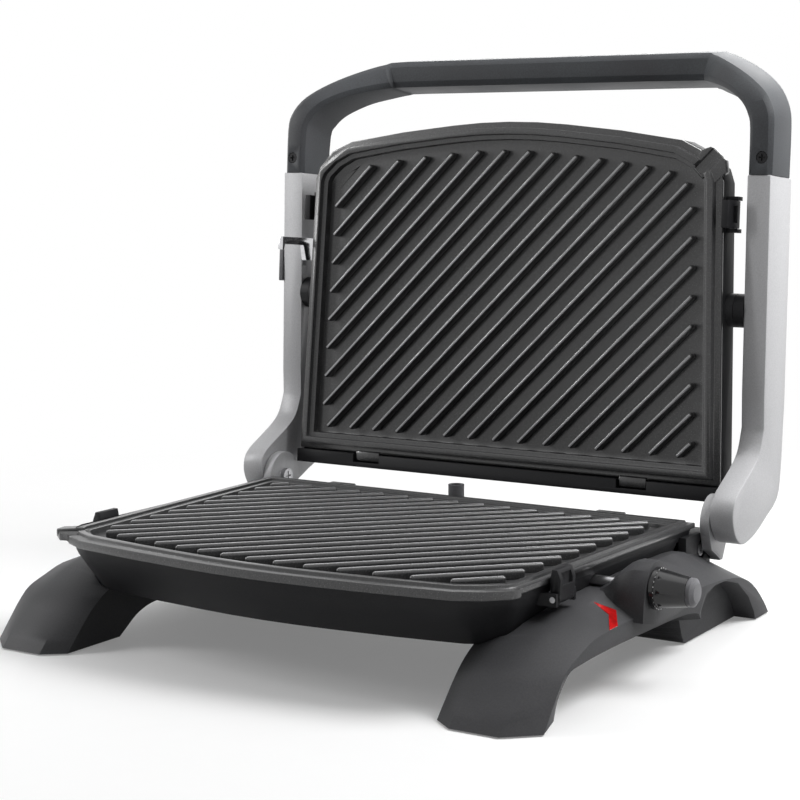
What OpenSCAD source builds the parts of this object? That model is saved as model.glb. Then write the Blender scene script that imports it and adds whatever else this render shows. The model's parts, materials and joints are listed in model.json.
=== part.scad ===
// Electric indoor contact grill with a hinged lid, standing open.
// Lengths in millimetres. X runs along the hinge, Y runs from the front to the back, Z is up.
// Work is laid out with Y = 0 at the back rim of the lower plate and Z = 0 on the worktop.
// The lid parts are laid out shut and then swung open about the hinge.

/* [Plates] */
// Width of a grill plate over its rim, at the hinge side
plate_w = 290; // [286:1:292]
// Distance between two neighbouring ribs, measured along the width
rib_pitch = 17.9; // [14:0.1:24]
// Height of a rib above the plate's floor
rib_h = 6; // [4:0.5:7]
// Thickness of the cast plate
plate_t = 3; // [2.5:0.1:3]

/* [Lid] */
// How far the lid stands open, from shut
lid_open = 94; // [60:1:94]
// Thickness of the lid arms
arm_w = 14.5; // [12:0.5:14.5]
// Radius of the hinge pins
pin_r = 4; // [3:0.1:4]

/* [Handle] */
// Reach of the handle beyond the ends of the arms
handle_reach = 76.5; // [74:0.5:80]
// Height of the handle's bow above the arms
handle_rise = 37; // [34:1:40]

/* [Base] */
// Depth of the base housing under the plate
housing_h = 27.2; // [26:0.1:27.2]
// Wall of the moulded pieces
wall = 2.5; // [2:0.1:2.5]

/* [Knob] */
// Radius of the knob at its skirt
knob_r = 11; // [9:0.5:12]
// Length of the knob
knob_l = 18.5; // [16:0.5:20]

/* [Hidden] */
$fn = 64;

// The origin is moved to the middle of the grill's box, on the worktop.
origin_x = 12.25;
origin_y = -52.52;

// Hinge axis of the lid and pivot axis of the floating lid head, laid out shut
hinge_y = 23;
hinge_z = 59;
pivot_y = -98;
pivot_z = 88.6;
run_fit = 0.05;

// Heights of the two plates' rims: lower, and upper with the lid shut
low_z = 62.3;
up_z = 68;

// How far the front edges of the lower and the upper pieces reach beyond the common outline
low_reach = 6;
up_reach = -6;

// Base housing between its underside and the flange of the lower plate
tray_top = 57.2;
tray_bottom = tray_top - housing_h;
tray_bend = 50;
beam_x = 151;
beam_y = 24;
beam_z0 = 32;
beam_z1 = 54;

// Arms and the pieces beside them
arm_in = 158;
arm_out = arm_in + arm_w;
bracket_in = 151.5;
bracket_out = 157.2;
tongue_z0 = 83;
tongue_z1 = 105;
handle_y = -177;

// Lid head, shut
pan_z0 = 77;
pan_z1 = 92;
head_back = 14;
cover_top = 118;

// Knob
knob_y = -107;
knob_z = 48.5;
knob_x = 178;
boss_x = 177.4;
shaft_r = 3;

// Latches at the sides of both plates
latch_y0 = -162;
latch_y1 = -146;
latch_px = 148.3;
latch_pz = 50.5;
ulatch_pz = 85.5;

// Posts that the lid cover is screwed down by
cover_screw_at = [[120, -20], [110, -168]];

// Fitting of the dark colours
black = [0.09, 0.09, 0.10];
coat = [0.14, 0.14, 0.15];
silver = [0.72, 0.72, 0.73];
steel = [0.6, 0.6, 0.62];
ceramic = [0.85, 0.83, 0.78];

// Half of the plate's rim, as a corner and the direction it moves in when the outline grows
half_w = plate_w / 2;
rim_half = [
    [half_w, 0, 1, 1], [half_w - 5.9, -178, 1, -0.2], [half_w - 8, -184, 0.9, -0.6],
    [half_w - 17, -192, 0.62, -0.85], [half_w - 29, -198, 0.3, -1], [half_w - 48, -201, 0.15, -1],
    [half_w - 68, -204, 0.12, -1], [half_w - 105, -208, 0.06, -1], [half_w - 125, -209.5, 0.03, -1],
    [0, -210, 0, -1]];

// Outline of the plate grown by o, its back edge at least at yb and its front edge moved out by f
function rim_x(p, f) = p[1] == -178 ? half_w - 5.9 * (178 + f) / 178 : p[0];
function rim_right(o, yb, f) = [
    for (p = rim_half) [rim_x(p, f) + o * p[2], p[1] == 0 ? max(o, yb) : p[1] - f + o * p[3]]];
function rim_left(r) = [for (i = [len(r) - 2:-1:0]) [-r[i][0], r[i][1]]];
function rim(o, yb, f) = concat(rim_right(o, yb, f), rim_left(rim_right(o, yb, f)));

// Smooth curve through a row of points or of whole rings, in n steps between two of them
function between(a, b, c, d, t) = 0.5 * (2 * b + (c - a) * t + (2 * a - 5 * b + 4 * c - d) * t * t
    + (3 * b - a - 3 * c + d) * t * t * t);
function smooth(p, n) = concat(
    [for (i = [0:len(p) - 2]) for (k = [0:n - 1])
        between(p[max(i - 1, 0)], p[i], p[i + 1], p[min(i + 2, len(p) - 1)], k / n)],
    [p[len(p) - 1]]);

module both() {
    children();
    mirror([1, 0, 0]) children();
}

module xcyl(x0, x1, y, z, r) {
    translate([x0, y, z]) rotate([0, 90, 0]) cylinder(h = x1 - x0, r = r);
}

module ycyl(y0, y1, x, z, r) {
    translate([x, y0, z]) rotate([-90, 0, 0]) cylinder(h = y1 - y0, r = r);
}

module zcyl(z0, z1, x, y, r) {
    translate([x, y, z0]) cylinder(h = z1 - z0, r = r);
}

module block(x0, x1, y0, y1, z0, z1) {
    translate([x0, y0, z0]) cube([x1 - x0, y1 - y0, z1 - z0]);
}

// A profile drawn in Y and Z, given thickness along X
module across(x0, x1) {
    translate([x0, 0, 0]) rotate([90, 0, 90]) linear_extrude(x1 - x0) children();
}

// A profile drawn in X and Z, given thickness along Y
module along(y0, y1) {
    translate([0, y1, 0]) rotate([90, 0, 0]) linear_extrude(y1 - y0) children();
}

module slab(o, z0, z1, yb = -99, f = low_reach) {
    translate([0, 0, z0]) linear_extrude(z1 - z0) polygon(rim(o, yb, f));
}

// Skin through a row of outlines that all have the same number of corners
module loft(rings) {
    n = len(rings[0]);
    m = len(rings);
    polyhedron(
        points = [for (r = rings) for (p = r) p],
        faces = concat(
            [[for (k = [0:n - 1]) k]],
            [for (i = [0:m - 2]) for (k = [0:n - 1])
                [i * n + k, (i + 1) * n + k, (i + 1) * n + (k + 1) % n]],
            [for (i = [0:m - 2]) for (k = [0:n - 1])
                [i * n + k, (i + 1) * n + (k + 1) % n, i * n + (k + 1) % n]],
            [[for (k = [n - 1:-1:0]) (m - 1) * n + k]]));
}

// Pan head screw with a cross recess, its head at the origin and its shank along -Z
module screw(r_head, h_head, r, l) {
    difference() {
        union() {
            cylinder(h = h_head, r = r_head);
            translate([0, 0, -l]) cylinder(h = l + 0.1, r = r);
        }
        translate([-r_head * 0.6, -0.45, h_head * 0.5]) cube([r_head * 1.2, 0.9, h_head]);
        translate([-0.45, -r_head * 0.6, h_head * 0.5]) cube([0.9, r_head * 1.2, h_head]);
    }
}

// Swings what is laid out shut into the open pose
module lid_pose() {
    translate([0, hinge_y, hinge_z]) rotate([-lid_open, 0, 0])
        translate([0, -hinge_y, -hinge_z]) children();
}

module bent_corner(x, y, z, turn, bend, r) {
    translate([x, y, z]) rotate([0, 0, turn])
        rotate_extrude(angle = 90) translate([bend, 0]) circle(r = r);
}

// Tubular heating rod: three sides of a loop, turned in at the back towards its two ends
module heater_rod(z, end_y) {
    r = 3.2;
    bend = 12;
    side = 95;
    front = -180;
    back = -30;
    inner = 40;
    ycyl(front + bend, back - bend, -side, z, r);
    ycyl(front + bend, back - bend, side, z, r);
    xcyl(-side + bend, side - bend, front, z, r);
    bent_corner(side - bend, front + bend, z, -90, bend, r);
    bent_corner(-side + bend, front + bend, z, 180, bend, r);
    both() {
        bent_corner(side - bend, back - bend, z, 0, bend, r);
        xcyl(inner + bend, side - bend, back, z, r);
        bent_corner(inner + bend, back + bend, z, 180, bend, r);
        ycyl(back + bend, end_y, inner, z, r);
    }
}

// One cast plate, face up with its rim's crest at Z = 0: depth of the flange and of the floor
// under the crest, height of the ribs, length of the lip that hangs down in front, reach of the front
module plate_casting(drop, depth, ribs, lip, f) {
    low = -drop - plate_t;
    foot = -depth - 0.5;
    difference() {
        union() {
            slab(5, low, -drop, -99, f);
            slab(1, low, 0, -99, f);
            slab(-4, -depth - plate_t, low + 1, -99, f);
            both() block(86, 104, 4, 10, low, -0.55 * drop);
            if (lip > 0) intersection() {
                difference() {
                    slab(6.2, low - lip, -drop, -99, f);
                    slab(4.4, low - lip - 1, low, -99, f);
                }
                block(-200, 200, -260, -182 - f, low - lip - 1, 0);
            }
            translate([0, -f, low]) linear_extrude(min(5.5, -low - 0.3))
                polygon([
                    [-126, -186], [-131, -197], [-137, -199], [-146.5, -191], [-147.5, -184],
                    [-138, -176]]);
        }
        slab(-3, max(-4, -drop), 1, -99, f);
        slab(-6, -depth, 1, -99, f);
        translate([-134, -188 - f, max(-5.5, low + 1.6)]) rotate([0, 0, 225])
            translate([-6, -4, 0]) cube([24, 8, 6]);
    }
    intersection() {
        slab(-11, -depth - 1, 1, -8.5, f);
        translate([3.6, -9.35, 0]) for (k = [-8:19])
            translate([k * rib_pitch, 0, 0]) rotate([0, 0, 45]) translate([-310, 0, 0])
                rotate([90, 0, 90]) linear_extrude(330) polygon([
                    [-4, foot], [-4, -depth], [-1.3, ribs - depth],
                    [1.3, ribs - depth], [4, -depth], [4, foot]]);
    }
}

module lower_plate() {
    color(coat) translate([0, 0, low_z]) plate_casting(1.8, 5.3, rib_h - 1.1, 1.8, low_reach);
}

module upper_plate() {
    color(coat) lid_pose() translate([0, 0, up_z]) rotate([0, 180, 0])
        plate_casting(5.5, 9, rib_h, 0, up_reach);
}

// The housing's outside, grown by c where other pieces must stay clear of it
module housing_form(c) {
    hull() {
        slab(-8 + c, tray_bottom - c, tray_bottom - c + 0.1, -99, 1);
        slab(1 + c, tray_bend, tray_bend + 0.1);
    }
    hull() {
        slab(1 + c, tray_bend, tray_bend + 0.1);
        slab(3 + c, tray_top - 0.1, tray_top);
    }
    block(-beam_x - c, beam_x + c, -10, beam_y + c, beam_z0 - c, beam_z1 + c);
}

leg_screw_at = [[128, -150], [128, -70]];

module base_housing() {
    color(black) difference() {
        union() {
            difference() {
                housing_form(0);
                hull() {
                    slab(-8 - wall, tray_bottom + wall, tray_bottom + wall + 0.1, -99, 1);
                    slab(1 - wall, tray_bend, tray_bend + 0.1);
                }
                slab(1 - wall, tray_bend, tray_top + 1);
                block(-beam_x + 5, beam_x - 5, -12, beam_y - wall, beam_z0 + wall, beam_z1 - wall);
            }
            both() {
                block(138.5, 150.5, latch_y0 - 2.6, latch_y0 - 0.3, 47, 53.5);
                block(138.5, 150.5, latch_y1 + 0.3, latch_y1 + 2.6, 47, 53.5);
                for (p = leg_screw_at) zcyl(tray_bottom + 1, 42, p[0], p[1], 3.5);
                for (p = [[60, -60], [60, -150]]) zcyl(tray_bottom + 1, 36, p[0], p[1], 3);
            }
            zcyl(tray_bottom + 1, 37, 118, -116, 3);
            zcyl(tray_bottom + 1, 37, 118, -98, 3);
        }
        hull() {
            slab(-3, tray_bend, tray_bend + 0.1);
            slab(0.5, tray_top + 2, tray_top + 3);
        }
        both() {
            for (p = leg_screw_at) zcyl(tray_bottom - 1, 40, p[0], p[1], 1.6);
            ycyl(latch_y0 - 3, latch_y1 + 3, latch_px, latch_pz, 1.52);
            xcyl(148.4, beam_x + 1, 12, 44, 5.5);
            xcyl(140, beam_x + 1, 12, 44, 1.6);
            for (x = [126, 140]) ycyl(beam_y - 5, beam_y + 1, x, 44, 1.6);
            ycyl(-13, 6, 40, 50.3, 3.5);
            for (y = [-170:14:-58]) block(30, 90, y, y + 4, tray_bottom - 1, tray_bottom + wall + 1);
        }
        xcyl(128, 152, knob_y, knob_z, 3.6);
        xcyl(-152, -138, -122, 55.2, 2.02);
        ycyl(beam_y - 5, beam_y + 1, -60, 43, 7.02);
        zcyl(beam_z1 - 5, beam_z1 + 1, -16, 17, 5.02);
    }
}

// The right leg's skin from the toe to the heel. The corners of a ring run inner bottom, inner top,
// inner side of the crest, outer side of the crest, outer crease, outer bottom.
leg_rings = [
    [[117, -180, 0.6], [117, -222, 0.6], [129, -231, 0.6],
     [156, -231, 0.6], [172, -217, 0.6], [166, -196, 0.6]],
    [[117, -175, 4], [117, -214, 9], [129, -224, 8],
     [156, -224, 8], [172, -209, 10], [167, -194, 10]],
    [[117, -166, 10], [117, -205, 18], [129, -214, 16],
     [156, -214, 16], [172, -201, 19], [169, -191, 18]],
    [[117, -158, 13], [117, -196, 25], [129, -204, 24],
     [156, -204, 24], [172, -193, 25.6], [172, -190, 24]],
    [[117, -150, 14.5], [117, -184, 31], [129, -191, 31.5],
     [156, -190, 31], [172, -180, 30], [172, -178, 25]],
    [[117, -138, 15], [117, -168, 36], [129, -172, 39],
     [156, -170, 38.5], [172, -165, 34], [172, -163, 25.5]],
    [[117, -120, 15], [117, -140, 39], [129, -140, 44],
     [154, -140, 44], [172, -140, 35], [172, -138, 25.5]],
    [[117, -95, 15], [117, -100, 40], [129, -100, 46.5],
     [152, -100, 46.5], [172.5, -100, 35], [172.5, -100, 25]],
    [[117, -70, 15], [117, -60, 40], [129, -58, 48],
     [151, -58, 48.5], [173, -58, 35], [173, -64, 24]],
    [[117, -48, 12], [117, -20, 40], [129, -18, 48],
     [150, -16, 47.5], [174, -20, 34], [174, -44, 21]],
    [[117, -38, 5], [117, 12, 33], [129, 14, 38],
     [152, 14, 38], [174, 12, 30], [174, -38, 8]],
    [[117, -35, 3], [117, 32, 23], [129, 36, 26],
     [155, 36, 26], [174, 33, 22], [174, -36, 4]],
    [[117, -34, 1.5], [117, 50, 9], [129, 55, 11],
     [157, 55, 11], [174, 50, 9], [174, -34.5, 2]],
    [[117, -33, 0.6], [117, 58, 0.6], [129, 64, 0.6],
     [158, 64, 0.6], [174, 58, 0.6], [174, -33, 0.6]]];

module leg_form() {
    difference() {
        loft(smooth(leg_rings, 3));
        across(120.5, 168.5) polygon([
            [-178, -1], [-184, 8], [-176, 20], [-160, 26.5], [-60, 26.5], [-50, 12], [-50, -1]]);
        across(161, 180) polygon([
            [-42, -1], [-41, 22], [-33, 30], [-22, 32.5], [-7, 32], [11, 27], [27, 16], [36, 5], [38, -1]]);
        for (p = [[143, -208], [143, 30]]) zcyl(-1, 3, p[0], p[1], 8.02);
        for (p = leg_screw_at) zcyl(20, 40, p[0], p[1], 2);
    }
}

module left_leg() {
    color(black) mirror([1, 0, 0]) difference() {
        leg_form();
        housing_form(0.4);
    }
}

// Chevron of the indicator window, lying on the leg's outer slope
module lens_form(up) {
    translate([154, -135, 44]) rotate([0, 26.57, 0]) translate([0, 0, -3]) linear_extrude(3 + up)
        polygon([[1, 2.5], [11.2, 9.5], [20.1, -5], [20.1, -14], [11.5, 0.4], [1.6, 2]]);
}

// Boss behind the knob, walked the other way because its rings are stacked along X
boss = [[-122, 33], [-121, 44], [-119, 52], [-115, 58.5], [-109, 62], [-102, 62], [-95, 58.5],
    [-88, 52], [-79, 46], [-66, 40], [-56, 33], [-80, 29], [-105, 29]];
function boss_ring(x, s) = [for (i = [len(boss) - 1:-1:0]) [x, boss[i][0], 29 + (boss[i][1] - 29) * s]];

module right_leg() {
    color(black) difference() {
        union() {
            leg_form();
            loft([boss_ring(146, 0.5), boss_ring(154, 0.66), boss_ring(160, 0.84), boss_ring(165, 0.96),
                boss_ring(169, 1), boss_ring(boss_x, 1)]);
        }
        housing_form(0.4);
        lens_form(2);
        xcyl(140, 180, knob_y, knob_z, 4);
        zcyl(20, 37, 160, -133, 3.02);
    }
}

module rubber_feet() {
    color([0.05, 0.05, 0.05]) both() for (p = [[143, -208], [143, 30]]) zcyl(0, 3, p[0], p[1], 8);
}

module leg_screws() {
    color(steel) both() for (p = leg_screw_at)
        translate([p[0], p[1], 26.4]) rotate([180, 0, 0]) screw(3.2, 2, 1.55, 12);
}

module hinge_bracket_form() {
    difference() {
        union() {
            across(bracket_in, bracket_out) union() {
                translate([hinge_y, hinge_z]) circle(r = 15.5);
                polygon([[9, 52], [12, 44], [24.1, 37], [28.5, 37], [37, 52]]);
            }
            block(118, bracket_out, beam_y + 0.1, beam_y + 4.1, 36, 53);
        }
        xcyl(140, 160, hinge_y, hinge_z, pin_r + 0.02);
        for (x = [126, 140]) ycyl(beam_y - 1, beam_y + 6, x, 44, 1.8);
    }
}

module hinge_bracket_left() {
    color(silver) mirror([1, 0, 0]) hinge_bracket_form();
}

module hinge_bracket_right() {
    color(silver) hinge_bracket_form();
}

module bracket_screws() {
    color(steel) both() for (x = [126, 140])
        translate([x, beam_y + 4.1, 44]) rotate([-90, 0, 0]) screw(3.2, 2, 1.55, 8);
}

module side_screws() {
    color(steel) both() translate([148.4, 12, 44]) rotate([0, 90, 0]) screw(3.8, 2.2, 1.55, 8);
}

module hinge_pins() {
    color(steel) both() difference() {
        union() {
            xcyl(bracket_in - 2.8, bracket_in, hinge_y, hinge_z, 4.8);
            xcyl(bracket_in - 0.1, 167.6, hinge_y, hinge_z, pin_r);
        }
        block(bracket_in - 3, bracket_in - 1.6, hinge_y - 3, hinge_y + 3, hinge_z - 0.5, hinge_z + 0.5);
        block(bracket_in - 3, bracket_in - 1.6, hinge_y - 0.5, hinge_y + 0.5, hinge_z - 3, hinge_z + 3);
    }
}

// Sheet metal shield under or over a heating rod, its front corners cut off
module shield_sheet(z0, z1, front) {
    translate([0, 0, z0]) linear_extrude(z1 - z0) polygon([
        [-121, -22], [-117, front + 12], [-106, front], [106, front], [117, front + 12], [121, -22]]);
}

module lower_heat_shield() {
    color(steel) difference() {
        shield_sheet(36, 36.8, -190);
        block(106, 140, -126, -88, 30, 40);
    }
}

module lower_heater() {
    color([0.35, 0.34, 0.34]) heater_rod(50.3, 4);
}

module heater_posts() {
    color(steel) both() for (p = [[95, -150], [95, -60], [40, -12]]) difference() {
        zcyl(36.8, 50.3, p[0], p[1], 5);
        ycyl(p[1] - 6, p[1] + 6, p[0], 50.3, 3.22);
    }
}

module thermostat_body() {
    color(ceramic) difference() {
        block(110, 132, knob_y - 14, knob_y + 14, 37, 53);
        xcyl(124, 133, knob_y, knob_z, shaft_r + run_fit);
    }
}

module terminal_block() {
    color(ceramic) difference() {
        block(-30, 30, 5, 17, beam_z0 + wall, 44);
        for (x = [-20, 0, 20]) zcyl(38, 45, x, 11, 2.5);
    }
}

module thermal_fuse() {
    color(steel) {
        xcyl(-72, -48, -100, 40, 3.2);
        block(-62, -58, -101, -99, 36.8, 38);
    }
}

module pilot_lamp() {
    color([0.9, 0.5, 0.3]) {
        zcyl(26.4, 36, 160, -133, 3);
        block(155, 165, -137, -129, 22, 26.5);
    }
}

module indicator_lens() {
    color([0.75, 0.02, 0.02]) intersection() {
        lens_form(0.3);
        block(150, 172.3, -160, -110, 20, 60);
    }
}

module cord_gland() {
    color(black) difference() {
        union() {
            ycyl(beam_y - 4, beam_y + 9, -60, 43, 7);
            ycyl(beam_y, beam_y + 3, -60, 43, 9.5);
        }
        ycyl(beam_y - 6, beam_y + 11, -60, 43, 3.6);
    }
}

module wire_conduit() {
    color([0.45, 0.45, 0.46]) difference() {
        union() {
            zcyl(beam_z1 - 4, 66, -16, 17, 5);
            difference() {
                zcyl(beam_z1 - 4.5, beam_z1 - wall, -16, 17, 6.5);
                block(-30, 0, beam_y - wall - 0.2, beam_y + 5, beam_z1 - 5, beam_z1);
            }
        }
        zcyl(beam_z1 - 6, 67, -16, 17, 3.2);
    }
}

module lock_peg() {
    color(steel) xcyl(-157, -140, -122, 55.2, 2);
}

module lower_latch_pins() {
    color(steel) both() ycyl(latch_y0 - 2.6, latch_y1 + 2.6, latch_px, latch_pz, 1.5);
}

module lower_latch_springs() {
    color(steel) both() along(-158, -150)
        polygon([[141.4, 51], [142.2, 51], [145.3, 56.4], [144.7, 57]]);
}

module lower_latch_form() {
    difference() {
        along(latch_y0, latch_y1) union() {
            polygon([[145.9, 50.5], [151, 50.5], [151.6, 60], [149.6, 65], [146.6, 65], [145.6, 60]]);
            translate([latch_px, latch_pz]) circle(r = 2.8);
        }
        ycyl(latch_y0 - 1, latch_y1 + 1, latch_px, latch_pz, 1.5 + run_fit);
        block(149.8, 152, latch_y0 + 3, latch_y1 - 3, 57, 63);
    }
}

module lower_latch_left() {
    color(black) mirror([1, 0, 0]) lower_latch_form();
}

module lower_latch_right() {
    color(black) lower_latch_form();
}

module thermostat_shaft() {
    color(steel) xcyl(125, knob_x + 12, knob_y, knob_z, shaft_r);
}

module control_knob() {
    color(black) difference() {
        union() {
            xcyl(knob_x, knob_x + 2.4, knob_y, knob_z, knob_r);
            translate([knob_x + 2.3, knob_y, knob_z]) rotate([0, 90, 0])
                cylinder(h = knob_l - 2.3, r1 = knob_r - 0.8, r2 = knob_r - 3.4);
        }
        for (a = [0:45:315]) translate([knob_x + 3.5, knob_y, knob_z]) rotate([a, 0, 0])
            translate([0, 0, knob_r + 0.6]) rotate([0, 83, 0]) cylinder(h = knob_l, r = 2.2);
        xcyl(knob_x - 1, knob_x + 12, knob_y, knob_z, shaft_r + 0.02);
    }
}

module knob_cap() {
    color(silver) translate([knob_x + knob_l, knob_y, knob_z]) rotate([0, 90, 0]) {
        cylinder(h = 2.4, r = knob_r - 3.6);
        translate([0, 0, 2.3]) cylinder(h = 1.7, r1 = knob_r - 3.6, r2 = knob_r - 6);
    }
}

// Side of a lid arm, laid out shut
arm_side = concat([[handle_y, 77], [-47, 82]],
    smooth([[-30, 83.4], [-17.5, 79], [-10, 72], [-1, 58], [6, 47], [12, 42.4], [20, 42], [28, 46],
        [33, 52], [35, 60], [32.5, 72], [28, 83], [21.5, 95], [16, 105.6], [8, 112], [-10, 114]], 3),
    [[-45, 115], [handle_y, 111]]);

module arm_form() {
    difference() {
        union() {
            across(arm_in, arm_out) polygon(arm_side);
            block(arm_in + 2.5, arm_out - 2.5, handle_y - 23, handle_y + 1, tongue_z0, tongue_z1);
        }
        xcyl(arm_in - 1, 168, hinge_y, hinge_z, pin_r + run_fit);
        xcyl(arm_in - 1, 168, pivot_y, pivot_z, 4.02);
        zcyl(tongue_z0 - 1, tongue_z1 - 4, 166.5, handle_y - 10, 1.7);
    }
}

module arm_left() {
    color(silver) lid_pose() mirror([1, 0, 0]) difference() {
        arm_form();
        block(arm_in - 1, arm_out + 1, -127.4, -115.6, 80.5, 84.5);
    }
}

module arm_right() {
    color(silver) lid_pose() arm_form();
}

// Half of the handle's bow, from the arm to the middle. Each row has the outer X and Y, the inner X
// and Y, the share of the rise, how far the front edge is drawn in and how far the back is swollen.
bow = [
    [172.5, handle_y, 158, handle_y, 0, 0, 0], [172.5, -206, 157.6, -204, 0, 0.6, 0.2],
    [170.8, -218, 155.6, -212, 0.03, 2.2, 0.5], [165, -229, 151, -219, 0.1, 4, 0.8],
    [156, -237.5, 144, -224.5, 0.22, 5, 1], [144, -245, 134.5, -229.5, 0.42, 5, 1],
    [130, -251.5, 123, -233.5, 0.68, 4.5, 1], [118, -255.8, 113, -236, 0.92, 4, 0.8],
    [104, -257, 101, -236.6, 1, 3.5, 0.7], [0, -257, 0, -237, 1, 3.5, 0.7]];

function bow_ring(b, s) = let(
    d = (handle_reach - 76.5) * (b[4] > 0 ? 1 : 0),
    z0 = 77 + handle_rise * b[4],
    z1 = 111 + (handle_rise - 5) * b[4],
    xo = b[0] * s, xi = b[2] * s, yo = b[1] - d, yi = b[3] - d,
    xm = (xo - xi) * 0.18, ym = (yo - yi) * 0.18, fy = b[5],
    xb = xi - 4 * b[6] * (1 - b[4]) * s, yr = yi + 3 * b[6])
    [[xi + xm, yi + ym, z0], [xo - xm, yo - ym + fy, z0], [xo, yo + fy, z0 + 2.5], [xo, yo, z1 - 4],
     [xo - xm * 1.5, yo - ym * 1.5, z1], [xb + xm * 1.5, yr + ym * 1.5, z1], [xb, yr, z1 - 4],
     [xi, yi, z0 + 2.5]];

// Going over to the far side the ring is walked the other way, so that the skin doesn't twist
function bow_ring_far(b) = [for (p = bow_ring(b, 1)) [-p[0], p[1], p[2]]];

module handle() {
    color(black) lid_pose() difference() {
        loft(smooth(concat([for (b = bow) bow_ring(b, 1)],
            [for (i = [len(bow) - 2:-1:0]) bow_ring_far(bow[i])]), 3));
        both() {
            block(arm_in + 2.4, arm_out - 2.4, handle_y - 23.2, handle_y + 1,
                tongue_z0 - 0.1, tongue_z1 + 0.1);
            zcyl(70, tongue_z0 + 1, 166.5, handle_y - 10, 1.8);
            zcyl(70, 79.6, 166.5, handle_y - 10, 3.6);
        }
    }
}

module handle_screws() {
    color([0.12, 0.12, 0.12]) lid_pose() both() translate([166.5, handle_y - 10, 79.6])
        rotate([180, 0, 0]) screw(3.3, 2.3, 1.65, 14);
}

module hinge_washers() {
    color(coat) lid_pose() both() {
        difference() {
            xcyl(bracket_out + 0.3, arm_in, hinge_y, hinge_z, 9);
            xcyl(bracket_out, arm_in + 1, hinge_y, hinge_z, pin_r + run_fit);
        }
        difference() {
            xcyl(151.7, arm_in, pivot_y, pivot_z, 10);
            xcyl(151, arm_in + 1, pivot_y, pivot_z, 4 + run_fit);
        }
    }
}

module head_pivot_pins() {
    color(steel) lid_pose() both() xcyl(147, 168, pivot_y, pivot_z, 4);
}

module lock_slider() {
    color(steel) lid_pose() {
        block(-176, -arm_out - 0.3, -132.5, -105, 78.5, 85.5);
        block(-arm_out - 0.4, -156, -127, -121, 80.8, 84.2);
        across(-156.5, -152.5) polygon([
            [-134, 50.2], [-125.5, 50.2], [-125.5, 52.4], [-129, 53], [-129, 74],
            [-119, 77], [-119, 86], [-131, 86], [-134, 83]]);
    }
}

module lid_pan() {
    color(black) lid_pose() difference() {
        union() {
            difference() {
                slab(5, pan_z0, pan_z1, head_back, up_reach);
                slab(5 - wall, pan_z0 - 1, pan_z1 - 2, head_back - wall, up_reach);
            }
            block(-149.5, 149.5, 5.6, head_back, 69.5, pan_z0 + 1);
            both() {
                difference() {
                    xcyl(143, 151.4, pivot_y, pivot_z, 10);
                    block(130, 147.4, pivot_y - 12, pivot_y + 12, pan_z1, 110);
                }
                block(141, 151, latch_y0 - 2.6, latch_y0 - 0.3, 82, 89);
                block(141, 151, latch_y1 + 0.3, latch_y1 + 2.6, 82, 89);
                for (p = [[60, -60], [60, -150]]) zcyl(88.6, 91, p[0], p[1], 3);
            }
        }
        both() {
            block(85, 105, 5.5, 11, 69, pan_z0 + 0.2);
            xcyl(146, 153, pivot_y, pivot_z, 4 + run_fit);
            ycyl(latch_y0 - 3, latch_y1 + 3, latch_px, ulatch_pz, 1.52);
            for (p = cover_screw_at) zcyl(pan_z1 - 4, pan_z1 + 1, p[0], p[1], 1.8);
        }
        zcyl(pan_z1 - 4, pan_z1 + 1, 0, -14, 5);
    }
}

// Domed form from the rim up to the crown: height, growth of the outline, back edge, scale
module dome(levels) {
    loft([for (l = levels) [for (p = rim(l[1], l[2], up_reach))
        [p[0] * l[3], (p[1] - pivot_y) * l[3] + pivot_y, l[0]]]]);
}

module lid_cover() {
    color(black) lid_pose() difference() {
        union() {
            difference() {
                dome([[cover_top, -12, -4, 0.83], [112, -12, -4, 1], [102, 1, 10, 1],
                    [pan_z1, 5, head_back, 1]]);
                dome([[cover_top - wall, -12, -4, 0.8], [110, -15, -7, 1], [102, -1.5, 7.5, 1],
                    [pan_z1 - 0.1, 5 - wall, head_back - wall, 1]]);
            }
            both() for (p = cover_screw_at) zcyl(pan_z1, 113.8, p[0], p[1], 4);
        }
        both() for (p = cover_screw_at) zcyl(pan_z1 - 1, 104, p[0], p[1], 1.6);
    }
}

module cover_screws() {
    color(steel) lid_pose() both() for (p = cover_screw_at)
        translate([p[0], p[1], pan_z1 - 2]) rotate([180, 0, 0]) screw(3.2, 1.8, 1.55, 10);
}

module upper_heat_shield() {
    color(steel) lid_pose() difference() {
        shield_sheet(87.8, 88.6, -184);
        both() for (p = cover_screw_at) zcyl(87, 90, p[0], p[1], 3.8);
    }
}

module upper_heater() {
    color([0.35, 0.34, 0.34]) lid_pose() {
        heater_rod(83.6, -2);
        both() for (p = [[95, -150], [95, -60]]) block(p[0] - 2, p[0] + 2, p[1] - 4, p[1] + 4, 85, 87.8);
    }
}

module lid_terminal() {
    color(ceramic) lid_pose() difference() {
        block(-55, 55, -2, 4.5, 80.5, 90);
        both() ycyl(-3, -1.9, 40, 83.6, 3.25);
        zcyl(79, 91, 0, 1, 2);
    }
}

module upper_latch_pins() {
    color(steel) lid_pose() both() ycyl(latch_y0 - 2.6, latch_y1 + 2.6, latch_px, ulatch_pz, 1.5);
}

module upper_latch_springs() {
    color(steel) lid_pose() both() along(-158, -150)
        polygon([[145.15, 79.2], [145.6, 79.6], [145.9, 84], [145.15, 84]]);
}

module upper_latch_form() {
    difference() {
        along(latch_y0, latch_y1) union() {
            polygon([[146, 70], [149.8, 70], [151.6, 77], [151, 85.5], [146.2, 85.5], [145.7, 77]]);
            translate([latch_px, ulatch_pz]) circle(r = 2.6);
        }
        ycyl(latch_y0 - 1, latch_y1 + 1, latch_px, ulatch_pz, 1.5 + run_fit);
        block(149.8, 152, latch_y0 + 3, latch_y1 - 3, 75, 81);
    }
}

module upper_latch_left() {
    color(black) lid_pose() mirror([1, 0, 0]) upper_latch_form();
}

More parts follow.
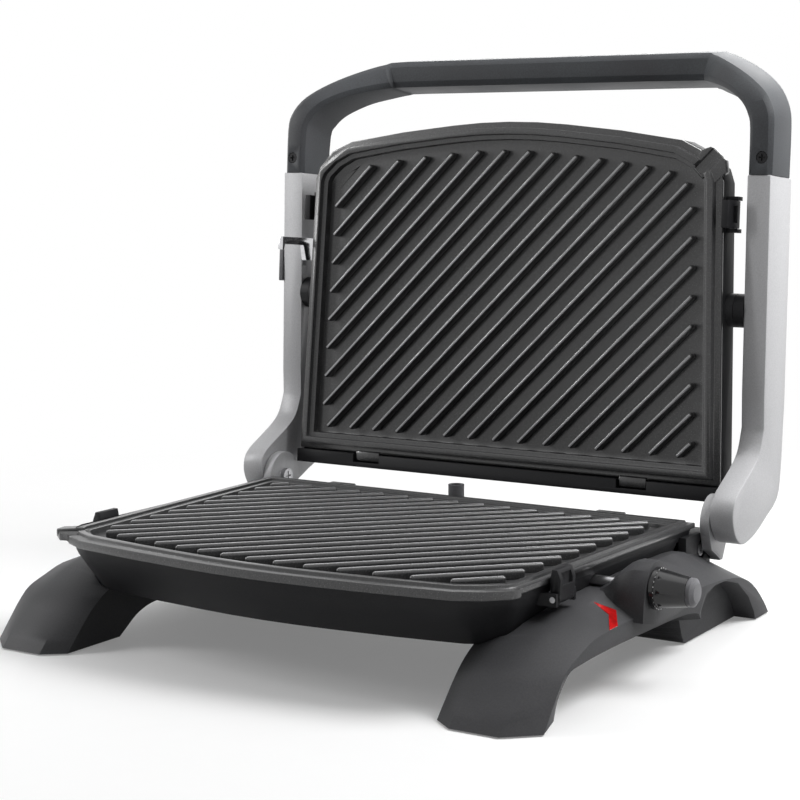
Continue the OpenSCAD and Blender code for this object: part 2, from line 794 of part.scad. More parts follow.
module upper_latch_right() {
    color(black) lid_pose() upper_latch_form();
}

translate([-origin_x, -origin_y, 0]) {
    base_housing();
    left_leg();
    right_leg();
    rubber_feet();
    leg_screws();
    hinge_bracket_left();
    hinge_bracket_right();
    bracket_screws();
    side_screws();
    hinge_pins();
    lower_heat_shield();
    lower_heater();
    heater_posts();
    thermostat_body();
    terminal_block();
    thermal_fuse();
    pilot_lamp();
    indicator_lens();
    cord_gland();
    wire_conduit();
    lock_peg();
    lower_latch_pins();
    lower_latch_springs();
    lower_latch_left();
    lower_latch_right();
    thermostat_shaft();
    control_knob();
    knob_cap();
    lower_plate();
    upper_plate();
    arm_left();
    arm_right();
    handle();
    handle_screws();
    hinge_washers();
    head_pivot_pins();
    lock_slider();
    lid_pan();
    lid_cover();
    cover_screws();
    upper_heat_shield();
    upper_heater();
    lid_terminal();
    upper_latch_pins();
    upper_latch_springs();
    upper_latch_left();
    upper_latch_right();
}
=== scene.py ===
# %% [markdown]
# An electric contact grill stands open on a white table. Its solids were made
# first, exactly, and are loaded here as a fixed frame, so every size and every
# joint is already true. Blender gives the solids their soft edges, their cast
# and moulded surfaces, the light and the camera.

# %% Load the frame
import json
import math
import bpy
from mathutils import Matrix, Vector


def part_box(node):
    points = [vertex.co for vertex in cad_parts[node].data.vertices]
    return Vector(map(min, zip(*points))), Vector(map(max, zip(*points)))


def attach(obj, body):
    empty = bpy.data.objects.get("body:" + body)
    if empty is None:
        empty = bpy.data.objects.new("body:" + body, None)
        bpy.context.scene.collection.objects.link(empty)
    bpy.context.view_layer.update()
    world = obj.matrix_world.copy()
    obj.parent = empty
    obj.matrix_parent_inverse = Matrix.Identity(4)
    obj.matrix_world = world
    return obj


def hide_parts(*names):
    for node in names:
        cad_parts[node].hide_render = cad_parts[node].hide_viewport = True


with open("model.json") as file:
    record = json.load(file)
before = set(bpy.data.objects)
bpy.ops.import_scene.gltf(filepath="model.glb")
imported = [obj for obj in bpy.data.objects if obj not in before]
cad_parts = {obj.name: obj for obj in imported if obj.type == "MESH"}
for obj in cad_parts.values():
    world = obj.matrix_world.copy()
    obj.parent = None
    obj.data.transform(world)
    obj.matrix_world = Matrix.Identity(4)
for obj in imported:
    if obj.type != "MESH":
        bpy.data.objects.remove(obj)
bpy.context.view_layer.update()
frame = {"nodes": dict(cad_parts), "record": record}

nodes = frame["nodes"]
bodies = frame["record"]["behaviour"]["bodies"]
body_with = {name: body for body, names in bodies.items() for name in names}
slot_of = {part["node"]: part["material_slot"] for part in frame["record"]["subparts"]}

# %% [markdown]
# The photograph looks down a little from the front right. Its upright lines
# stay nearly upright, so the camera is almost level and the picture is shifted
# instead of tilted further. The place of the camera came from matching the rims
# of both plates.

# %% Camera
SENSOR_MM = 36
LENS_MM = 83.25
SHIFT = (-0.094, -0.065)  # of the picture, in sensor widths
CAMERA_AT = (0.55535, -0.89968, 0.2651)
LOOKS_DOWN_DEG = 5.771
TURNED_DEG = 30.459

camera_data = bpy.data.cameras.new("photo_camera")
camera_data.sensor_width = SENSOR_MM
camera_data.lens = LENS_MM
camera_data.shift_x, camera_data.shift_y = SHIFT
camera = bpy.data.objects.new("photo_camera", camera_data)
camera.location = CAMERA_AT
camera.rotation_euler = (math.radians(90 - LOOKS_DOWN_DEG), 0, math.radians(TURNED_DEG))
bpy.context.scene.collection.objects.link(camera)
bpy.context.scene.camera = camera
bpy.context.scene.view_settings.view_transform = "Standard"
print("camera", tuple(camera.location))

# %% [markdown]
# Every finish below is built from a few shader nodes. Colours are written as
# hex values, as a designer picks them on a screen, and one function turns them
# into the linear light that the shader works in. One more function adds a node
# together with its settings and links.

# %% Colours and nodes
def light_of(hex_colour):
    """A screen colour such as 3a3a3c as linear red, green, blue and alpha."""
    parts = [int(hex_colour[i:i + 2], 16) / 255 for i in (0, 2, 4)]
    linear = [c / 12.92 if c <= 0.04045 else ((c + 0.055) / 1.055) ** 2.4 for c in parts]
    return (*linear, 1.0)


def put(tree, kind, inputs=None, **settings):
    """Adds a shader node. An input is a number, a colour, or the output that feeds it."""
    made = tree.nodes.new("ShaderNode" + kind)
    for name, value in settings.items():
        setattr(made, name, value)
    for name, value in (inputs or {}).items():
        if isinstance(value, bpy.types.NodeSocket):
            tree.links.new(value, made.inputs[name])
        else:
            made.inputs[name].default_value = value
    return made


print("mid grey 808080 is", round(light_of("808080")[0], 3), "in linear light")

# %% [markdown]
# A real surface is never one flat tone. Its colour drifts between two close
# tones, its gloss drifts with it, and a fine relief breaks the highlight. A
# picture laid on the piece could show that, but noise in object space needs no
# unwrapping and keeps its scale on every piece, so each finish is made of it.

# %% Pattern, tone, gloss and relief
WHITE = (1, 1, 1, 1)
BLACK = (0, 0, 0, 1)


def new_finish(name):
    """An empty material with its node tree and its object coordinates."""
    material = bpy.data.materials.new(name)
    material.use_nodes = True
    tree = material.node_tree
    tree.nodes.clear()
    return material, tree, put(tree, "TexCoord").outputs["Object"]


def noise(tree, coords, per_metre, detail, roughness=0.5):
    """A cloudy pattern with about this many clouds in a metre."""
    return put(tree, "TexNoise", {
        "Vector": coords, "Scale": per_metre, "Detail": detail,
        "Roughness": roughness}).outputs["Fac"]


def two_tone(tree, pattern, first, second, span=(0.0, 1.0)):
    """Goes from the first colour to the second while the pattern crosses the span."""
    ramp = put(tree, "ValToRGB", {"Fac": pattern})
    for stop, colour, level in zip(ramp.color_ramp.elements, (first, second), span):
        stop.position = level
        stop.color = colour
    return ramp.outputs["Color"]


def drift(tree, pattern, low, high):
    """A value that drifts between low and high with a noise pattern."""
    return put(tree, "MapRange", {
        "Value": pattern, "From Min": 0.3, "From Max": 0.7,
        "To Min": low, "To Max": high}).outputs[0]


def relief(tree, pattern, strength, depth):
    """Normals as if the pattern stood this many metres deep in the surface."""
    return put(tree, "Bump", {
        "Height": pattern, "Strength": strength, "Distance": depth}).outputs[0]


def close_finish(tree, shader):
    put(tree, "OutputMaterial", {"Surface": shader.outputs[0]})


finish = {}
print("finishes so far", len(finish))

# %% [markdown]
# Moulded ABS and glass-filled nylon come out of a spark-eroded mould with a
# fine matt grain. The eye sees a soft grey sheen instead of a clean highlight,
# with slight clouds where the plastic cooled. The real grain is about 0.2 mm,
# too fine for the picture, so it is drawn near 0.9 mm.

# %% Moulded plastics
GRAIN_MM = 0.9


def moulded_plastic(name, dark, pale, rough, bump=0.12, sheen=0.2):
    material, tree, coords = new_finish(name)
    grain = noise(tree, coords, per_metre=1000 / GRAIN_MM, detail=3.0, roughness=0.6)
    cloud = noise(tree, coords, per_metre=22.0, detail=4.0)
    both = put(tree, "Math", {0: grain, 1: cloud}, operation="MULTIPLY").outputs[0]
    close_finish(tree, put(tree, "BsdfPrincipled", {
        "Base Color": two_tone(tree, both, light_of(dark), light_of(pale), span=(0.1, 0.45)),
        "Roughness": drift(tree, cloud, low=rough - 0.05, high=rough + 0.07),
        "IOR": 1.5, "Specular IOR Level": sheen,
        "Normal": relief(tree, grain, bump, depth=0.0002)}))
    return material


finish["black_plastic"] = moulded_plastic("moulded_black_ABS", "1a1a1c", "252527", rough=0.5)
finish["leg_plastic"] = moulded_plastic("moulded_charcoal_nylon", "3b3b3d", "49494b", rough=0.52)
finish["handle_plastic"] = moulded_plastic("satin_black_phenolic", "4a4a4d", "585c5f", rough=0.45)
finish["grey_plastic"] = moulded_plastic("moulded_grey_ABS", "6e6e71", "7f7f82", rough=0.4)
finish["knob_plastic"] = moulded_plastic(
    "polished_black_phenolic", "151517", "1f1f21", rough=0.2, bump=0.02, sheen=0.5)
print("plastics", len(finish))

# %% [markdown]
# The plates are die-cast aluminium, blasted and sprayed with a PTFE coating
# that holds mica flakes. The coat is dark grey and grained like fine sandpaper.
# The backs of the ribs shine paler where they catch the light. A second, paler coat on those faces
# paints that highlight into the colour, so it follows the shape and not a pattern.

# %% Coated aluminium
def coated_casting(name, dark, pale, fleck, shine=0.2):
    material, tree, coords = new_finish(name)
    sand = noise(tree, coords, per_metre=1100.0, detail=4.0, roughness=0.7)
    cloud = noise(tree, coords, per_metre=30.0, detail=3.0)
    flake = put(tree, "TexVoronoi", {"Vector": coords, "Scale": 900.0}).outputs["Distance"]
    colour = put(tree, "Mix", {
        "Factor": two_tone(tree, flake, WHITE, BLACK, span=(0.1, 0.24)),
        "A": two_tone(tree, sand, light_of(dark), light_of(pale), span=(0.35, 0.68)),
        "B": light_of(fleck)}, data_type="RGBA")
    close_finish(tree, put(tree, "BsdfPrincipled", {
        "Base Color": colour.outputs["Result"],
        "Roughness": drift(tree, cloud, low=0.36, high=0.46), "IOR": 1.38,
        "Coat Weight": 0.8, "Coat Roughness": shine, "Coat IOR": 1.5,
        "Normal": relief(tree, sand, strength=0.25, depth=0.0003)}))
    return material


finish["nonstick_aluminium"] = coated_casting(
    "PTFE_coated_cast_aluminium", "29292a", "3e3e3f", "5c5c5d")
# A paler copy of the coat: painted highlight for the backs of the ribs.
finish["worn_crest"] = coated_casting(
    "PTFE_coat_with_painted_highlight", "a8a8aa", "c4c4c6", "dcdcde", shine=0.12)
print("finishes so far", len(finish))

# %% [markdown]
# The arms and hinge brackets are cast aluminium under a silver lacquer with
# metal flakes. It is paler and duller than bare metal, and its flakes give the
# faint sparkle that a plain grey paint lacks. The lacquer between the flakes is
# clear plastic, so the finish is only slightly metallic.

# %% Silver lacquer
def silver_lacquer(name, dark, pale):
    material, tree, coords = new_finish(name)
    flake = noise(tree, coords, per_metre=1500.0, detail=2.0)
    cloud = noise(tree, coords, per_metre=12.0, detail=2.0)
    close_finish(tree, put(tree, "BsdfPrincipled", {
        "Base Color": two_tone(tree, flake, light_of(dark), light_of(pale), span=(0.3, 0.7)),
        "Roughness": drift(tree, cloud, low=0.36, high=0.44), "Metallic": 0.05,
        "Normal": relief(tree, flake, strength=0.06, depth=0.0001)}))
    return material


finish["silver_paint"] = silver_lacquer("silver_lacquered_casting", "bababc", "c8c8ca")
print("finishes so far", len(finish))

# %% [markdown]
# Steel shows up in three states: rolled sheet and rods with fine draw lines,
# bright plated clips, and the heating rod's sheath, which heat has turned dark.
# The lines come from a noise that is stretched along one axis.

# %% Steels
LINE_MM = 1.2
ALONG_PER_METRE = 40.0


def drawn_metal(name, dark, pale, rough, metallic=1.0):
    material, tree, coords = new_finish(name)
    across = 1000 / LINE_MM
    stretched = put(tree, "Mapping", {
        "Vector": coords, "Scale": (ALONG_PER_METRE, across, across)}).outputs[0]
    line = noise(tree, stretched, per_metre=1.0, detail=4.0)
    close_finish(tree, put(tree, "BsdfPrincipled", {
        "Base Color": two_tone(tree, line, light_of(dark), light_of(pale), span=(0.3, 0.7)),
        "Roughness": drift(tree, line, low=rough - 0.05, high=rough + 0.08),
        "Metallic": metallic, "Normal": relief(tree, line, strength=0.1, depth=0.0001)}))
    return material


finish["steel"] = drawn_metal("zinc_plated_steel", "9a9a9c", "b4b4b6", rough=0.3)
finish["bright_clip"] = drawn_metal("nickel_plated_spring_steel", "c4c4c6", "d8d8da", rough=0.16)
finish["heater_sheath"] = drawn_metal(
    "oxidised_heater_sheath", "2c2a29", "3d3a38", rough=0.5, metallic=0.6)
print("finishes so far", len(finish))

# %% [markdown]
# The small pieces have their own stuff: steatite ceramic for the terminals,
# printed paint for the marks on the knob, and black rubber for the feet. All
# three are dull and fine-grained, so one function makes them.

# %% Ceramic, paint and rubber
def powdery(name, dark, pale, rough, grain_mm):
    material, tree, coords = new_finish(name)
    grain = noise(tree, coords, per_metre=1000 / grain_mm, detail=5.0)
    close_finish(tree, put(tree, "BsdfPrincipled", {
        "Base Color": two_tone(tree, grain, light_of(dark), light_of(pale)),
        "Roughness": rough, "Normal": relief(tree, grain, strength=0.3, depth=0.0002)}))
    return material


finish["ceramic"] = powdery("steatite_ceramic", "bdb8ac", "d2cdc1", rough=0.6, grain_mm=1.5)
finish["white_paint"] = powdery("printed_white_paint", "d8d8d8", "efefef", rough=0.5, grain_mm=0.8)
finish["rubber"] = powdery("moulded_rubber", "101010", "1b1b1b", rough=0.8, grain_mm=1.0)
print("finishes so far", len(finish))

# %% [markdown]
# The pilot window is clear red polycarbonate, with a small orange lamp behind
# it. From outside such a window looks like a deep, glossy red. A see-through
# shader would mostly show the dark leg behind, so the depth is painted as slow
# clouds of two reds under a clear coat.

# %% Window and lamp
def clear_red(name, deep, bright):
    material, tree, coords = new_finish(name)
    depth = noise(tree, coords, per_metre=160.0, detail=2.0)
    close_finish(tree, put(tree, "BsdfPrincipled", {
        "Base Color": two_tone(tree, depth, light_of(deep), light_of(bright), span=(0.35, 0.65)),
        "Roughness": 0.14, "IOR": 1.58, "Coat Weight": 0.6}))
    return material


finish["red_lens"] = clear_red("clear_red_polycarbonate", "a00808", "d31010")
finish["lamp_glass"] = clear_red("orange_lamp_glass", "b5501a", "d97a35")
print("finishes", len(finish))

# %% [markdown]
# A solid from the frame has knife-sharp edges, which no cast, moulded or bent
# piece has. The solid itself stays as it is. A copy of its mesh is merged and
# cleaned to whole faces, so that a bevel finds each edge once, and the copy
# then shows in place of the solid, at the same size and place.

# %% Copies of the solids
MM = 0.001
WELD_M = 0.00001
SAME_PLANE_DEG = 0.6


def alone(*pieces):
    """Only these pieces are selected, and the first is active."""
    bpy.ops.object.select_all(action="DESELECT")
    for piece in pieces:
        piece.select_set(True)
    bpy.context.view_layer.objects.active = pieces[0]


def whole_copy(node):
    """A copy of a CAD node, with the triangles of each flat merged into one face."""
    mesh = nodes[node].data.copy()
    piece = bpy.data.objects.new(node + "_eased", mesh)
    bpy.context.scene.collection.objects.link(piece)
    alone(piece)
    if mesh.has_custom_normals:
        bpy.ops.mesh.customdata_custom_splitnormals_clear()
    bpy.ops.object.mode_set(mode="EDIT")
    bpy.ops.mesh.select_all(action="SELECT")
    bpy.ops.mesh.remove_doubles(threshold=WELD_M)
    bpy.ops.mesh.dissolve_limited(angle_limit=math.radians(SAME_PLANE_DEG))
    bpy.ops.mesh.select_all(action="DESELECT")
    bpy.ops.object.mode_set(mode="OBJECT")
    return piece


def settle(piece, body, look):
    """Gives a finished piece its finish and its body."""
    piece.data.materials.clear()
    piece.data.materials.append(finish[look])
    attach(piece, body)


print("solids to dress", len(nodes))

# %% [markdown]
# A bevel that only takes the sharp corners rounds the copy. Its width is what
# the process leaves on the real piece: about 0.5 mm on a small moulded latch,
# 0.8 mm on a casting, and 1.2 mm or more on the legs, the arms and the cover,
# which a hand meets.

# %% Rounded edges
SHARP_DEG = 32


def round_over(piece, width_mm, segments, **settings):
    """Rounds the edges of the active piece."""
    edge = piece.modifiers.new("edge", "BEVEL")
    edge.width = width_mm * MM
    edge.segments = segments
    for name, value in settings.items():
        setattr(edge, name, value)
    bpy.ops.object.modifier_apply(modifier=edge.name)


def eased(node, edge_mm, look=None, smooth_deg=28, is_extra=None):
    """Shows a rounded copy of a node in its place, without the faces that is_extra picks."""
    piece = whole_copy(node)
    if is_extra:
        take_off(piece, is_extra)
    round_over(piece, edge_mm, segments=2, limit_method="ANGLE",
               angle_limit=math.radians(SHARP_DEG), use_clamp_overlap=not is_extra)
    bpy.ops.object.shade_smooth_by_angle(angle=math.radians(smooth_deg))
    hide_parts(node)
    settle(piece, body_with[node], look or slot_of[node])
    return piece


EDGES_MM = {
    "base_housing": 0.8, "left_leg": 1.2, "right_leg": 1.2, "arm_left": 1.3, "arm_right": 1.3,
    "hinge_bracket_left": 0.8, "hinge_bracket_right": 0.8, "lid_pan": 0.6, "lid_cover": 1.5,
    "lower_latch_left": 0.5, "lower_latch_right": 0.5,
    "upper_latch_left": 0.5, "upper_latch_right": 0.5, "cord_gland": 0.6, "knob_cap": 0.7}
for name, width in EDGES_MM.items():
    print(name, len(eased(name, width).data.polygons), "faces")
handle = eased("handle", edge_mm=1.5, look="handle_plastic")
print("handle", len(handle.data.polygons), "faces")

# %% [markdown]
# The lid lock is one slide: a grey moulded button outside the left arm and a
# plated hook inside it. The button's faces lie beyond the arm's outer side, so
# they are picked by their place and take the grey finish.

# %% Lid lock
BUTTON_MARGIN_M = 0.0002

lock = eased("lock_slider", edge_mm=0.6, look="bright_clip")
lock.data.materials.append(finish["grey_plastic"])
arm_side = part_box("arm_left")[0][0]
for face in lock.data.polygons:
    face.material_index = 1 if face.center.x < arm_side + BUTTON_MARGIN_M else 0
print("lock faces", sum(f.material_index for f in lock.data.polygons), "on the button")

# %% [markdown]
# The knob's skirt carries a ring of small white printed marks for the heat
# setting. They could be a pattern in the finish, but a mark with a shape of its
# own is also there in the exported meshes. Each is a thin dot of paint, modelled
# once as a low disc with a rounded edge and copied round the ring.

# %% One mark
SHIFT_MM = (-12.25, 52.52)  # from the drawing of the grill to the frame
DOT_MM = {"radius": 0.32, "height": 0.16, "edge": 0.05}

bpy.ops.object.select_all(action="DESELECT")
bpy.ops.mesh.primitive_cylinder_add(
    vertices=14, radius=DOT_MM["radius"] * MM, depth=DOT_MM["height"] * MM,
    rotation=(0, math.pi / 2, 0))
dot = bpy.context.object
round_over(dot, DOT_MM["edge"], segments=2)
print("dot", len(dot.data.polygons), "faces")

# %% The ring of marks
KNOB_AT = Vector((178 + SHIFT_MM[0], -107 + SHIFT_MM[1], 48.5)) * MM
RING_MM = {"out": 2.42, "radius": 10.58}
MARKS = 24


def join(pieces, name):
    """Joins the pieces into one at the origin, unturned and unscaled."""
    alone(*pieces)
    bpy.ops.object.join()
    bpy.ops.object.transform_apply(location=True, rotation=True, scale=True)
    pieces[0].name = name
    return pieces[0]


marks = []
for step in range(MARKS):
    turn = step * math.tau / MARKS
    mark = dot.copy()
    mark.data = dot.data.copy()
    bpy.context.scene.collection.objects.link(mark)
    mark.location = KNOB_AT + Vector((
        RING_MM["out"], RING_MM["radius"] * math.cos(turn),
        RING_MM["radius"] * math.sin(turn))) * MM
    marks.append(mark)
bpy.data.objects.remove(dot)
ring = join(marks, "knob_marks")
settle(ring, body_with["control_knob"], "white_paint")
print("knob marks", len(marks))

# %% [markdown]
# The ribs of both plates run at 45 degrees and end short of the rim. The solids
# have them as plain ridges. On a real casting a rib has a round back, which
# catches the light as one bright line, and a bevel on the ridges can't give it,
# because their flanks and ends are too close together. So the ridges are taken
# off the copies of the plates, the floor is closed, and each rib is modelled.

# %% Take ridges off and close the floor
def take_off(piece, is_extra):
    """Deletes the picked faces and closes the holes that they leave."""
    for face in piece.data.polygons:
        face.select = is_extra(piece.data, face)
    bpy.ops.object.mode_set(mode="EDIT")
    bpy.ops.mesh.select_mode(type="FACE")
    bpy.ops.mesh.delete(type="FACE")
    bpy.ops.mesh.select_all(action="SELECT")
    bpy.ops.mesh.fill_holes(sides=0)
    bpy.ops.mesh.select_all(action="DESELECT")
    bpy.ops.mesh.select_mode(type="EDGE")
    bpy.ops.mesh.select_non_manifold()
    bpy.ops.mesh.fill(use_beauty=False)
    bpy.ops.mesh.select_all(action="SELECT")
    bpy.ops.mesh.normals_make_consistent(inside=False)
    bpy.ops.object.mode_set(mode="OBJECT")


print("ridges can be taken off")

# %% [markdown]
# Both plates are drawn flat on a table, then set into the grill: the lower one
# on the base, and the upper one turned over on the lid, which stands open by 94
# degrees. The ribs are made in the flat drawing and set in the same way, because
# their lanes and their outline are simple only there.

# %% How the plates are set
OPEN_DEG = -94
HINGE = Vector((0, 0.023, 0.059))

to_frame = Matrix.Translation((SHIFT_MM[0] * MM, SHIFT_MM[1] * MM, 0))
open_lid = (Matrix.Translation(HINGE) @ Matrix.Rotation(math.radians(OPEN_DEG), 4, "X")
            @ Matrix.Translation(-HINGE))
turn_over = Matrix.Translation((0, 0, 0.068)) @ Matrix.Rotation(math.pi, 4, "Y")
PLATES = {
    "lower_plate": {"set": to_frame @ Matrix.Translation((0, 0, 0.0623)),
                    "floor": 5.3, "rib": 4.9, "reach": 6},
    "upper_plate": {"set": to_frame @ open_lid @ turn_over,
                    "floor": 9.0, "rib": 6.0, "reach": -6}}
print("plates", list(PLATES))

# %% Where the ribs lie
PITCH_MM = 17.9
LANE_MM = (3.6, -9.35)  # a point that lane 0 starts from
RIDGE_HALF_MM = 5.9
RIDGE_RISE_MM = 0.4
SLACK_MM = 0.1
HINGE_SIDE_MM = -8  # no rib lies behind this
FIELD_MM = [(127.1, -177.4), (121.2, -182.6), (112.7, -187), (95.4, -190),
            (75.7, -193), (39.3, -197), (19.7, -198.5), (0, -199)]


def rib_field(reach):
    """The outline in which the ribs lie, in mm, with its front reach mm further out.

    The right half is listed, and the left half mirrors it.
    """
    side = [(134, -8.5), (128.1 if reach > 0 else 128.3, -175.8 - reach)]
    side += [(x, y - reach) for x, y in FIELD_MM]
    return side + [(-x, y) for x, y in reversed(side[:-1])]


def rib_span(start_x, field):
    """How far along its lane a rib starts and ends, inside the field."""
    cuts = []
    for (ax, ay), (bx, by) in zip(field, field[1:] + field[:1]):
        a = (ay - LANE_MM[1]) - (ax - start_x)
        b = (by - LANE_MM[1]) - (bx - start_x)
        if (a > 0) != (b > 0):
            t = a / (a - b)
            cuts.append((ax + t * (bx - ax) - start_x) * math.sqrt(2))
    return (min(cuts), max(cuts)) if len(cuts) > 1 else (0, 0)


def ridge_test(plate):
    """A test that tells whether a face of the plate's solid belongs to a ridge."""
    to_drawing = plate["set"].inverted()
    floor_z, crest_z = -plate["floor"], -plate["floor"] + plate["rib"]

    def is_ridge(mesh, face):
        spots = [(to_drawing @ mesh.vertices[i].co) / MM for i in face.vertices]
        lowest, highest = min(p.z for p in spots), max(p.z for p in spots)
        if lowest < floor_z - SLACK_MM:
            return False
        if not floor_z + RIDGE_RISE_MM <= highest <= crest_z + SLACK_MM:
            return False
        off = [(p.y - LANE_MM[1]) - (p.x - LANE_MM[0]) for p in spots]
        lane = round(-off[0] / PITCH_MM)
        on_lane = all(abs(o + lane * PITCH_MM) < RIDGE_HALF_MM for o in off)
        return on_lane and max(p.y for p in spots) < HINGE_SIDE_MM

    return is_ridge


field = rib_field(PLATES["lower_plate"]["reach"])
print("lane 0 of the lower plate", [round(v) for v in rib_span(LANE_MM[0], field)], "mm")

# %% [markdown]
# A rib on the real plate is a bar with a round back and round ends, grown out of
# the floor. Here it is a cube, drawn out to a bar in edit mode and rounded by a
# bevel on every edge. Its foot is sunk a little into the floor, as a loose rod
# that only lies on it would show a gap.

# %% Model one rib
RIB_WIDE_MM = 3.192
SUNK_MM = 0.4
END_GAP_MM = 2.5
BACK_MM = 1.55
SHORTEST_MM = 2


def model_rib(span, start_x, plate):
    length = max(span[1] - span[0] - 2 * END_GAP_MM, SHORTEST_MM)
    bpy.ops.object.select_all(action="DESELECT")
    bpy.ops.mesh.primitive_cube_add(size=1, location=(0, 0, 0))
    rib = bpy.context.object
    bpy.ops.object.mode_set(mode="EDIT")
    bpy.ops.mesh.select_all(action="SELECT")
    bpy.ops.transform.resize(
        value=(length * MM, RIB_WIDE_MM * MM, (plate["rib"] + SUNK_MM) * MM))
    bpy.ops.object.mode_set(mode="OBJECT")
    round_over(rib, BACK_MM, segments=4, limit_method="NONE")
    middle = (span[0] + span[1]) / 2 / math.sqrt(2)
    height = -plate["floor"] - SUNK_MM / 2 + plate["rib"] / 2
    on_lane = Matrix.Translation(Vector((start_x + middle, LANE_MM[1] + middle, height)) * MM)
    rib.matrix_world = plate["set"] @ on_lane @ Matrix.Rotation(math.radians(45), 4, "Z")
    bpy.ops.object.transform_apply(location=True, rotation=True, scale=True)
    bpy.ops.object.shade_smooth()
    return rib


print("a rib is", RIB_WIDE_MM, "mm wide")

# %% [markdown]
# Each plate now shows as a rounded copy without its ridges, with its ribs as one more piece on the
# same body. The lanes that only cut a corner of the field get no rib. On the backs of the ribs the
# faces that look up take the paler coat, a painted highlight.

# %% Plates and their ribs
LANES = range(-8, 20)
LEAST_SPAN_MM = 5
# Faces that look up at least this much take the painted highlight.
PAINTED_HIGHLIGHT_FACES_UP = 0.86

for name, plate in PLATES.items():
    made = eased(name, edge_mm=0.7, smooth_deg=40, is_extra=ridge_test(plate))
    field = rib_field(plate["reach"])
    ribs = []
    for lane in LANES:
        start_x = LANE_MM[0] + lane * PITCH_MM
        span = rib_span(start_x, field)
        if span[1] - span[0] > LEAST_SPAN_MM:
            ribs.append(model_rib(span, start_x, plate))
    block = join(ribs, name + "_ribs")
    settle(block, body_with[name], slot_of[name])
    # The second coat is a painted highlight on the rib faces that look up.
    block.data.materials.append(finish["worn_crest"])
    up = plate["set"].to_3x3() @ Vector((0, 0, 1))
    for face in block.data.polygons:
        face.material_index = 1 if face.normal.dot(up) > PAINTED_HIGHLIGHT_FACES_UP else 0
    print(name, len(made.data.polygons), "faces,", len(ribs), "ribs")

# %% [markdown]
# The rest of the frame, such as screws, springs, rods and what is inside, keeps
# its own mesh, because its edges are too small to see. It only takes a finish:
# the one of its slot, or for four nodes one that suits them better.

# %% Finishes for the carried solids
FINISH_INSTEAD = {
    "handle_screws": "black_plastic", "lower_latch_springs": "bright_clip",
    "upper_latch_springs": "bright_clip", "control_knob": "knob_plastic"}
for name, obj in nodes.items():
    obj.data.materials.clear()
    obj.data.materials.append(finish[FINISH_INSTEAD.get(name, slot_of[name])])
print("carried", len(nodes))

# %% [markdown]
# The grill stands on a wide white sheet, as in a photographer's studio. The
# photograph keeps the shadow under the grill but fades to plain white around it.
# So the sheet is a lit surface near the grill, and further away it mixes with a
# white glow that only the camera and reflections see. For all other rays it is
# darker, or it would light the grill from below.

# %% Table top
TABLE_M = 12
BELOW_FEET_M = 0.0002

bpy.ops.object.select_all(action="DESELECT")
bpy.ops.mesh.primitive_plane_add(size=TABLE_M, location=(0, 0, -BELOW_FEET_M))
floor = bpy.context.object
floor.name = "table"
print("table", TABLE_M, "m wide")

# %% Its laminate
BOUNCE = (0.3, 0.3, 0.3, 1)
SHEET_DULL, SHEET_PALE = (0.93, 0.93, 0.93, 1), (0.95, 0.95, 0.95, 1)
GLOW_STARTS_M, GLOW_FULL_M = 0.22, 0.7


def either(tree, first, second):
    """1 where either of two ray tests is 1."""
    return put(tree, "Math", {0: first, 1: second}, operation="MAXIMUM").outputs[0]


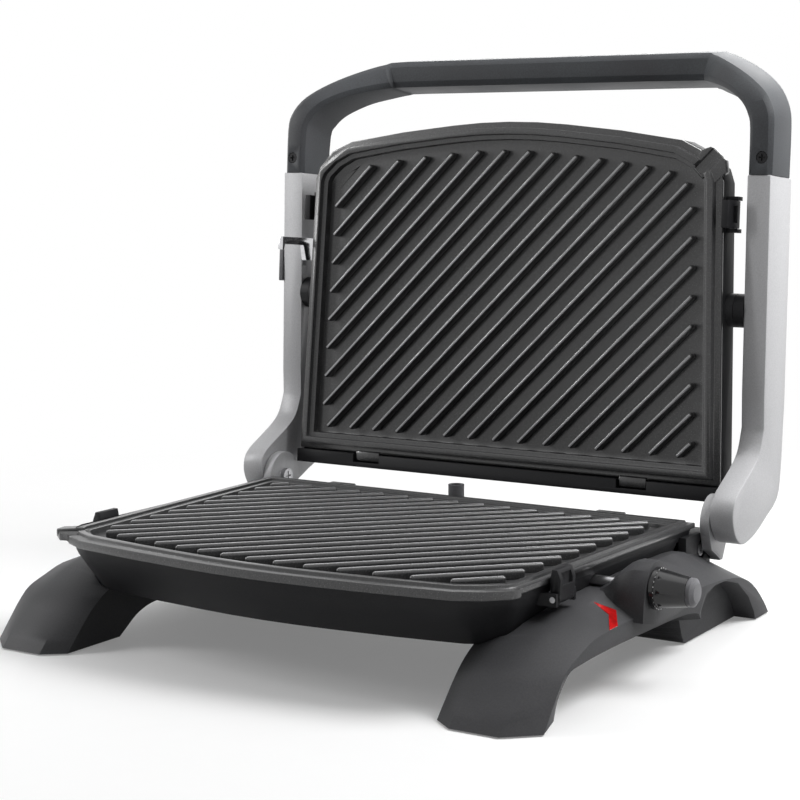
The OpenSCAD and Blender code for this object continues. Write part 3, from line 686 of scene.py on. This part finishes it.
laminate, tree, coords = new_finish("white_laminate")
ray = put(tree, "LightPath").outputs
seen = either(tree, ray["Is Camera Ray"], ray["Is Glossy Ray"])
speck = noise(tree, coords, per_metre=60.0, detail=2.0)
sheet = put(tree, "Mix", {
    "Factor": seen, "A": BOUNCE, "B": two_tone(tree, speck, SHEET_DULL, SHEET_PALE)},
    data_type="RGBA")
lit = put(tree, "BsdfPrincipled", {
    "Base Color": sheet.outputs["Result"], "Roughness": 0.6, "Specular IOR Level": 0.2})
glow = put(tree, "Emission", {"Color": WHITE, "Strength": 1.0})
away = put(tree, "VectorMath", {0: coords}, operation="LENGTH").outputs["Value"]
fade = put(tree, "MapRange", {
    "Value": away, "From Min": GLOW_STARTS_M, "From Max": GLOW_FULL_M,
    "To Min": 0.2, "To Max": 1.0}).outputs[0]
share = put(tree, "Math", {0: fade, 1: seen}, operation="MULTIPLY").outputs[0]
close_finish(tree, put(tree, "MixShader", {0: share, 1: lit.outputs[0], 2: glow.outputs[0]}))
floor.data.materials.append(laminate)
print("table finish", laminate.name)

# %% [markdown]
# In the photograph the right sides are bright and the shadows soft, so the main
# light is a large box high on the right. A wide box overhead fills the plates, a
# narrow strip on the left draws the edges there, and a box behind lifts the
# shadow. Area lamps fit, because their size sets how soft a shadow is.

# %% Lamps
AIM_AT = Vector((0, 0, 0.15))
LAMPS = {  # place and size in metres, power in watts
    "right_softbox": ((0.72, 0.32, 0.95), (0.6, 0.6), 15),
    "top_softbox": ((-0.1, 0.2, 2.0), (1.6, 1.6), 9),
    "left_strip": ((-0.75, -0.35, 0.5), (0.07, 0.5), 2.8),
    "back_softbox": ((-0.5, 1.7, 1.0), (1.2, 1.2), 14)}
for name, (place, size, power) in LAMPS.items():
    data = bpy.data.lights.new(name, "AREA")
    data.shape = "RECTANGLE"
    data.size, data.size_y = size
    data.energy = power
    lamp = bpy.data.objects.new(name, data)
    lamp.location = place
    lamp.rotation_euler = (AIM_AT - Vector(place)).to_track_quat("-Z", "Y").to_euler()
    lamp.visible_camera = False
    bpy.context.scene.collection.objects.link(lamp)
print("lamps", len(LAMPS))

# %% [markdown]
# The backdrop is plain white where it is seen, straight or in a reflection. For
# the light that falls on the grill it is a tenth of that, or it would wash out
# the shading that the lamps give.

# %% Backdrop
world = bpy.data.worlds.new("studio")
world.use_nodes = True
bpy.context.scene.world = world
sky = world.node_tree
sky.nodes.clear()
ray = put(sky, "LightPath").outputs
direct = either(sky, ray["Is Camera Ray"], ray["Is Transmission Ray"])
level = put(sky, "MapRange", {
    "Value": either(sky, direct, ray["Is Glossy Ray"]), "To Min": 0.1, "To Max": 1.0})
white = put(sky, "Background", {"Color": WHITE, "Strength": level.outputs[0]})
put(sky, "OutputWorld", {"Surface": white.outputs[0]})
print("backdrop", world.name)
